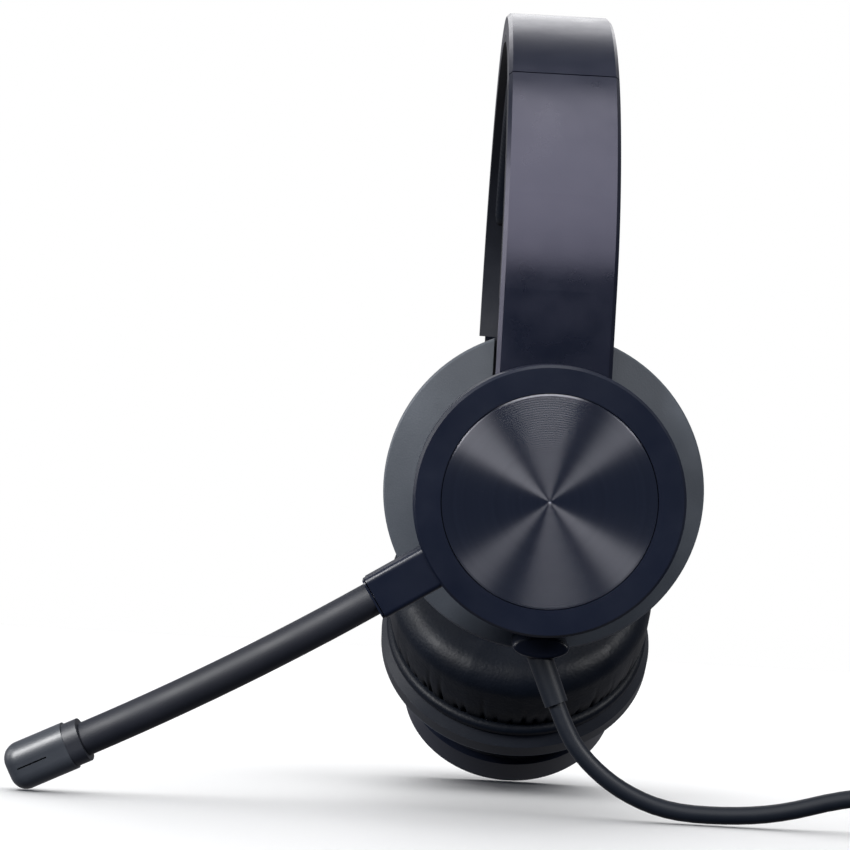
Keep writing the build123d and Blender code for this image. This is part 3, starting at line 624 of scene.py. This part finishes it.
def add_cushion(side, seed):
    """A pleated cushion: the pleats start at the outer seam and at the hole's back edge."""
    profile = cushion_profile()
    marks = pleat_marks(seed)
    swell = random.Random(seed + 7).uniform(0, 6)
    along = [0.0]
    for first, second in zip(profile, profile[1:]):
        along.append(along[-1] + math.dist(first, second))

    def shift(angle, index):
        from_seam = along[index]
        from_hole = along[-1] - from_seam
        dent = pleat_dent(marks, angle, from_seam, PLEAT_WIDTH, PLEAT_WIDENING, PLEAT_WINDOW)
        hole_dent = pleat_dent(marks, angle, from_hole, HOLE_PLEAT_WIDTH, 0.0, HOLE_PLEAT_WINDOW)
        wave = LONG_WAVE[0] * math.sin(LONG_WAVE[1] * angle + swell)
        wave += SHORT_WAVE[0] * math.sin(SHORT_WAVE[1] * angle - swell)
        wave *= min(1.0, from_seam / WAVE_FADE) * min(1.0, from_hole / WAVE_FADE)
        out = -PLEAT_DEPTH * dent + HOLE_PLEAT_SHARE * PLEAT_DEPTH * hole_dent - abs(wave)
        return out, -abs(wave)

    points, faces = lathe(profile, CUSHION_STEPS, closed=True, shift=shift)
    cushion = add_mesh(side + "_cushion", points, faces, cup_frame(side), "leatherette")
    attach(cushion, side + "_cup")
    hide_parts(side + "_ear_cushion")


add_cushion("left", 3)
add_cushion("right", 11)

# ---- headband pad --------------------------------------------------------------------------------

PAD_INNER = 0.07045         # radius of the pad's inside
PAD_THICKNESS = 0.0075
PAD_WIDTH = 0.022
PAD_SPREAD = math.radians(39.4)     # half of its angle
PAD_COLUMNS = 240           # sections along the arch
PAD_RING = 40               # points round a section
PAD_END = 0.006             # length over which each end rounds off
END_HEIGHT = 0.9            # where an end closes, as a share of the thickness
END_WIDTH = 0.86            # width of an end, as a share of the pad's
SIDE_POWER = 0.35           # lower is squarer: the sides, the face and the back of a section
FACE_POWER = 0.6
BACK_POWER = 0.3
PAD_CROWN = 0.16            # how far the face drops towards its edges, as a share of its height
STITCHES = 200
STITCH_COLUMNS = 4          # sections from one stitch to the next
STITCH_PULL = 0.02          # how far a stitch draws the sides in, as a share of the width
BACK_GAP = 0.00005          # the back stays this far inside the full thickness
SIDE_GAP = 0.0001           # and each side this far inside the full width


def pad_section(angle, end, pucker):
    """One section of the pad; end goes from 0 at its ends to 1, pucker is how hard a stitch pulls."""
    points = []
    for index in range(PAD_RING):
        turn = 2 * math.pi * index / PAD_RING
        across = math.copysign(abs(math.cos(turn)) ** SIDE_POWER, math.cos(turn))
        depth = math.sin(turn)
        on_face = depth < 0
        power = FACE_POWER if on_face else BACK_POWER
        thick = 0.5 + 0.5 * math.copysign(abs(depth) ** power, depth)
        crown = 1 - PAD_CROWN * across * across if on_face else 1.0
        waist = 1 - STITCH_PULL * pucker * (1 - abs(depth))
        full = PAD_THICKNESS * (0.5 + (thick - 0.5) * crown)
        high = full * end + PAD_THICKNESS * (1 - end) * END_HEIGHT
        radius = PAD_INNER + min(high, PAD_THICKNESS - BACK_GAP)
        narrowing = END_WIDTH + (1 - END_WIDTH) * end
        wide = PAD_WIDTH / 2 * across * waist * narrowing - SIDE_GAP * across
        points.append((wide, radius * math.sin(angle), radius * math.cos(angle)))
    return points


def pad_points():
    """The pad's sections, from one end of the arch to the other."""
    chance = random.Random(5)
    stitches = [chance.uniform(0.7, 1.0) for _ in range(STITCHES)]
    points = []
    for column in range(PAD_COLUMNS + 1):
        share = 2 * column / PAD_COLUMNS - 1
        left = (1 - abs(share)) * PAD_SPREAD * PAD_INNER
        end = math.sqrt(max(0.0, 1 - max(0.0, 1 - left / PAD_END) ** 2))
        pucker = 0.5 * (1 + math.cos(2 * math.pi * column / STITCH_COLUMNS))
        points += pad_section(PAD_SPREAD * share, end, pucker * stitches[column % STITCHES])
    return points


def pad_faces():
    """Squares between neighbouring sections, and a face that closes each end."""
    faces = []
    for column in range(PAD_COLUMNS):
        here = column * PAD_RING
        there = here + PAD_RING
        for index in range(PAD_RING):
            after = (index + 1) % PAD_RING
            faces.append((here + index, there + index, there + after, here + after))
    last = PAD_COLUMNS * PAD_RING
    faces.append(tuple(range(PAD_RING)))
    faces.append(tuple(reversed(range(last, last + PAD_RING))))
    return faces


def add_pad():
    """The long pad under the arch: a crowned face, a stitched seam along each edge and soft ends."""
    mount = MOUNTS["head_rest"]
    down = Vector(mount["axis"]).normalized()
    middle = Vector(mount["pos_m"]) + down * PAD_INNER
    ahead = Vector((1, 0, 0))
    side = ahead.cross(down).normalized()
    place = Matrix.Translation(middle) @ Matrix((ahead, side, -down)).transposed().to_4x4()
    pad = add_mesh("pad_cover", pad_points(), pad_faces(), place, "leatherette")
    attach(pad, "headband")
    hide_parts("headband_pad")


add_pad()

# ---- floor and light -----------------------------------------------------------------------------

FLOOR_REACH = 4.0
FLOOR_HEIGHT = -0.0002
SKY_STRENGTH = 3.7
SKY_SPREAD = 105            # degrees across
SKY_SLANT = 18              # degrees off straight down; it comes from the +Y side
LIGHT_TARGET = (0.04, -0.05, 0.07)
LIGHTS = (                  # name, place, width and height, power in watts
    ("back", (0.03, 0.66, 0.76), (0.86, 0.5), 2.6),
    ("front", (0.03, -0.65, 0.75), (0.44, 1.4), 7),
    ("left_key", (-0.62, -0.66, 0.48), (0.16, 0.44), 19),
    ("right_key", (0.70, -0.66, 0.55), (0.18, 0.36), 10),
    ("edge", (-1.2, -0.02, 0.45), (0.4, 0.9), 6),
)
ROOM_NEAR = (0.035, 0.045, 0.075, 1)
ROOM_FAR = (0.30, 0.30, 0.32, 1)
ROOM_FADE = 0.6             # they mix from 0 up to this value of a direction's Y


def add_floor():
    data = bpy.data.meshes.new("floor")
    corners = []
    for x, y in ((-1, -1), (1, -1), (1, 1), (-1, 1)):
        corners.append((x * FLOOR_REACH, y * FLOOR_REACH, FLOOR_HEIGHT))
    data.from_pydata(corners, [], [(0, 1, 2, 3)])
    floor = bpy.data.objects.new("floor", data)
    bpy.context.scene.collection.objects.link(floor)
    surface = Surface("floor_paper", (0.88, 0.88, 0.87), 0.6)
    surface.bump(surface.noise(300), 0.0001)
    surface.drift(2, 0.01)
    data.materials.append(surface.material)
    floor.visible_glossy = False
    floor.visible_diffuse = False
    return floor


def link_floor(light, floor, state):
    """Lets a light reach only the floor, or everything but the floor."""
    group = bpy.data.collections.new(light.name + " and floor")
    group.objects.link(floor)
    light.light_linking.receiver_collection = group
    group.collection_objects[0].light_linking.link_state = state


def add_sky(floor):
    """A soft, even light on the floor alone, from above: the floor stays pale all the way out."""
    data = bpy.data.lights.new("sky", "SUN")
    data.energy = SKY_STRENGTH
    data.angle = math.radians(SKY_SPREAD)
    sky = bpy.data.objects.new("sky", data)
    sky.rotation_euler = (math.radians(-SKY_SLANT), 0, 0)
    bpy.context.scene.collection.objects.link(sky)
    link_floor(sky, floor, "INCLUDE")


def add_light(floor, name, place, size, power):
    """A rectangular soft light on the object alone, facing its middle."""
    data = bpy.data.lights.new(name, "AREA")
    data.shape = "RECTANGLE"
    data.size, data.size_y = size
    data.energy = power
    light = bpy.data.objects.new(name, data)
    bpy.context.scene.collection.objects.link(light)
    aim = (Vector(LIGHT_TARGET) - Vector(place)).to_track_quat("-Z", "Y")
    light.matrix_world = Matrix.Translation(place) @ aim.to_matrix().to_4x4()
    link_floor(light, floor, "EXCLUDE")


def set_world():
    """White to the camera; the room that lights the object is dark at -Y and grey at +Y."""
    world = bpy.data.worlds.new("studio")
    bpy.context.scene.world = world
    world.use_nodes = True
    nodes = world.node_tree.nodes
    links = world.node_tree.links
    nodes.clear()
    output = nodes.new("ShaderNodeOutputWorld")
    mix = nodes.new("ShaderNodeMixShader")
    seen = nodes.new("ShaderNodeBackground")
    seen.inputs["Color"].default_value = (1, 1, 1, 1)
    room = nodes.new("ShaderNodeBackground")
    place = nodes.new("ShaderNodeTexCoord")
    split = nodes.new("ShaderNodeSeparateXYZ")
    fade = nodes.new("ShaderNodeMapRange")
    fade.inputs["From Max"].default_value = ROOM_FADE
    tone = nodes.new("ShaderNodeMix")
    tone.data_type = "RGBA"
    tone.inputs[MIX_FIRST].default_value = ROOM_NEAR
    tone.inputs[MIX_SECOND].default_value = ROOM_FAR
    path = nodes.new("ShaderNodeLightPath")
    links.new(place.outputs["Generated"], split.inputs["Vector"])
    links.new(split.outputs["Y"], fade.inputs["Value"])
    links.new(fade.outputs["Result"], tone.inputs[0])
    links.new(tone.outputs[MIX_RESULT], room.inputs["Color"])
    links.new(path.outputs["Is Camera Ray"], mix.inputs[0])
    links.new(room.outputs["Background"], mix.inputs[1])
    links.new(seen.outputs["Background"], mix.inputs[2])
    links.new(mix.outputs["Shader"], output.inputs["Surface"])


FLOOR = add_floor()
set_world()
add_sky(FLOOR)
for light_name, light_place, light_size, light_power in LIGHTS:
    add_light(FLOOR, light_name, light_place, light_size, light_power)
bpy.context.scene.view_settings.view_transform = "Standard"
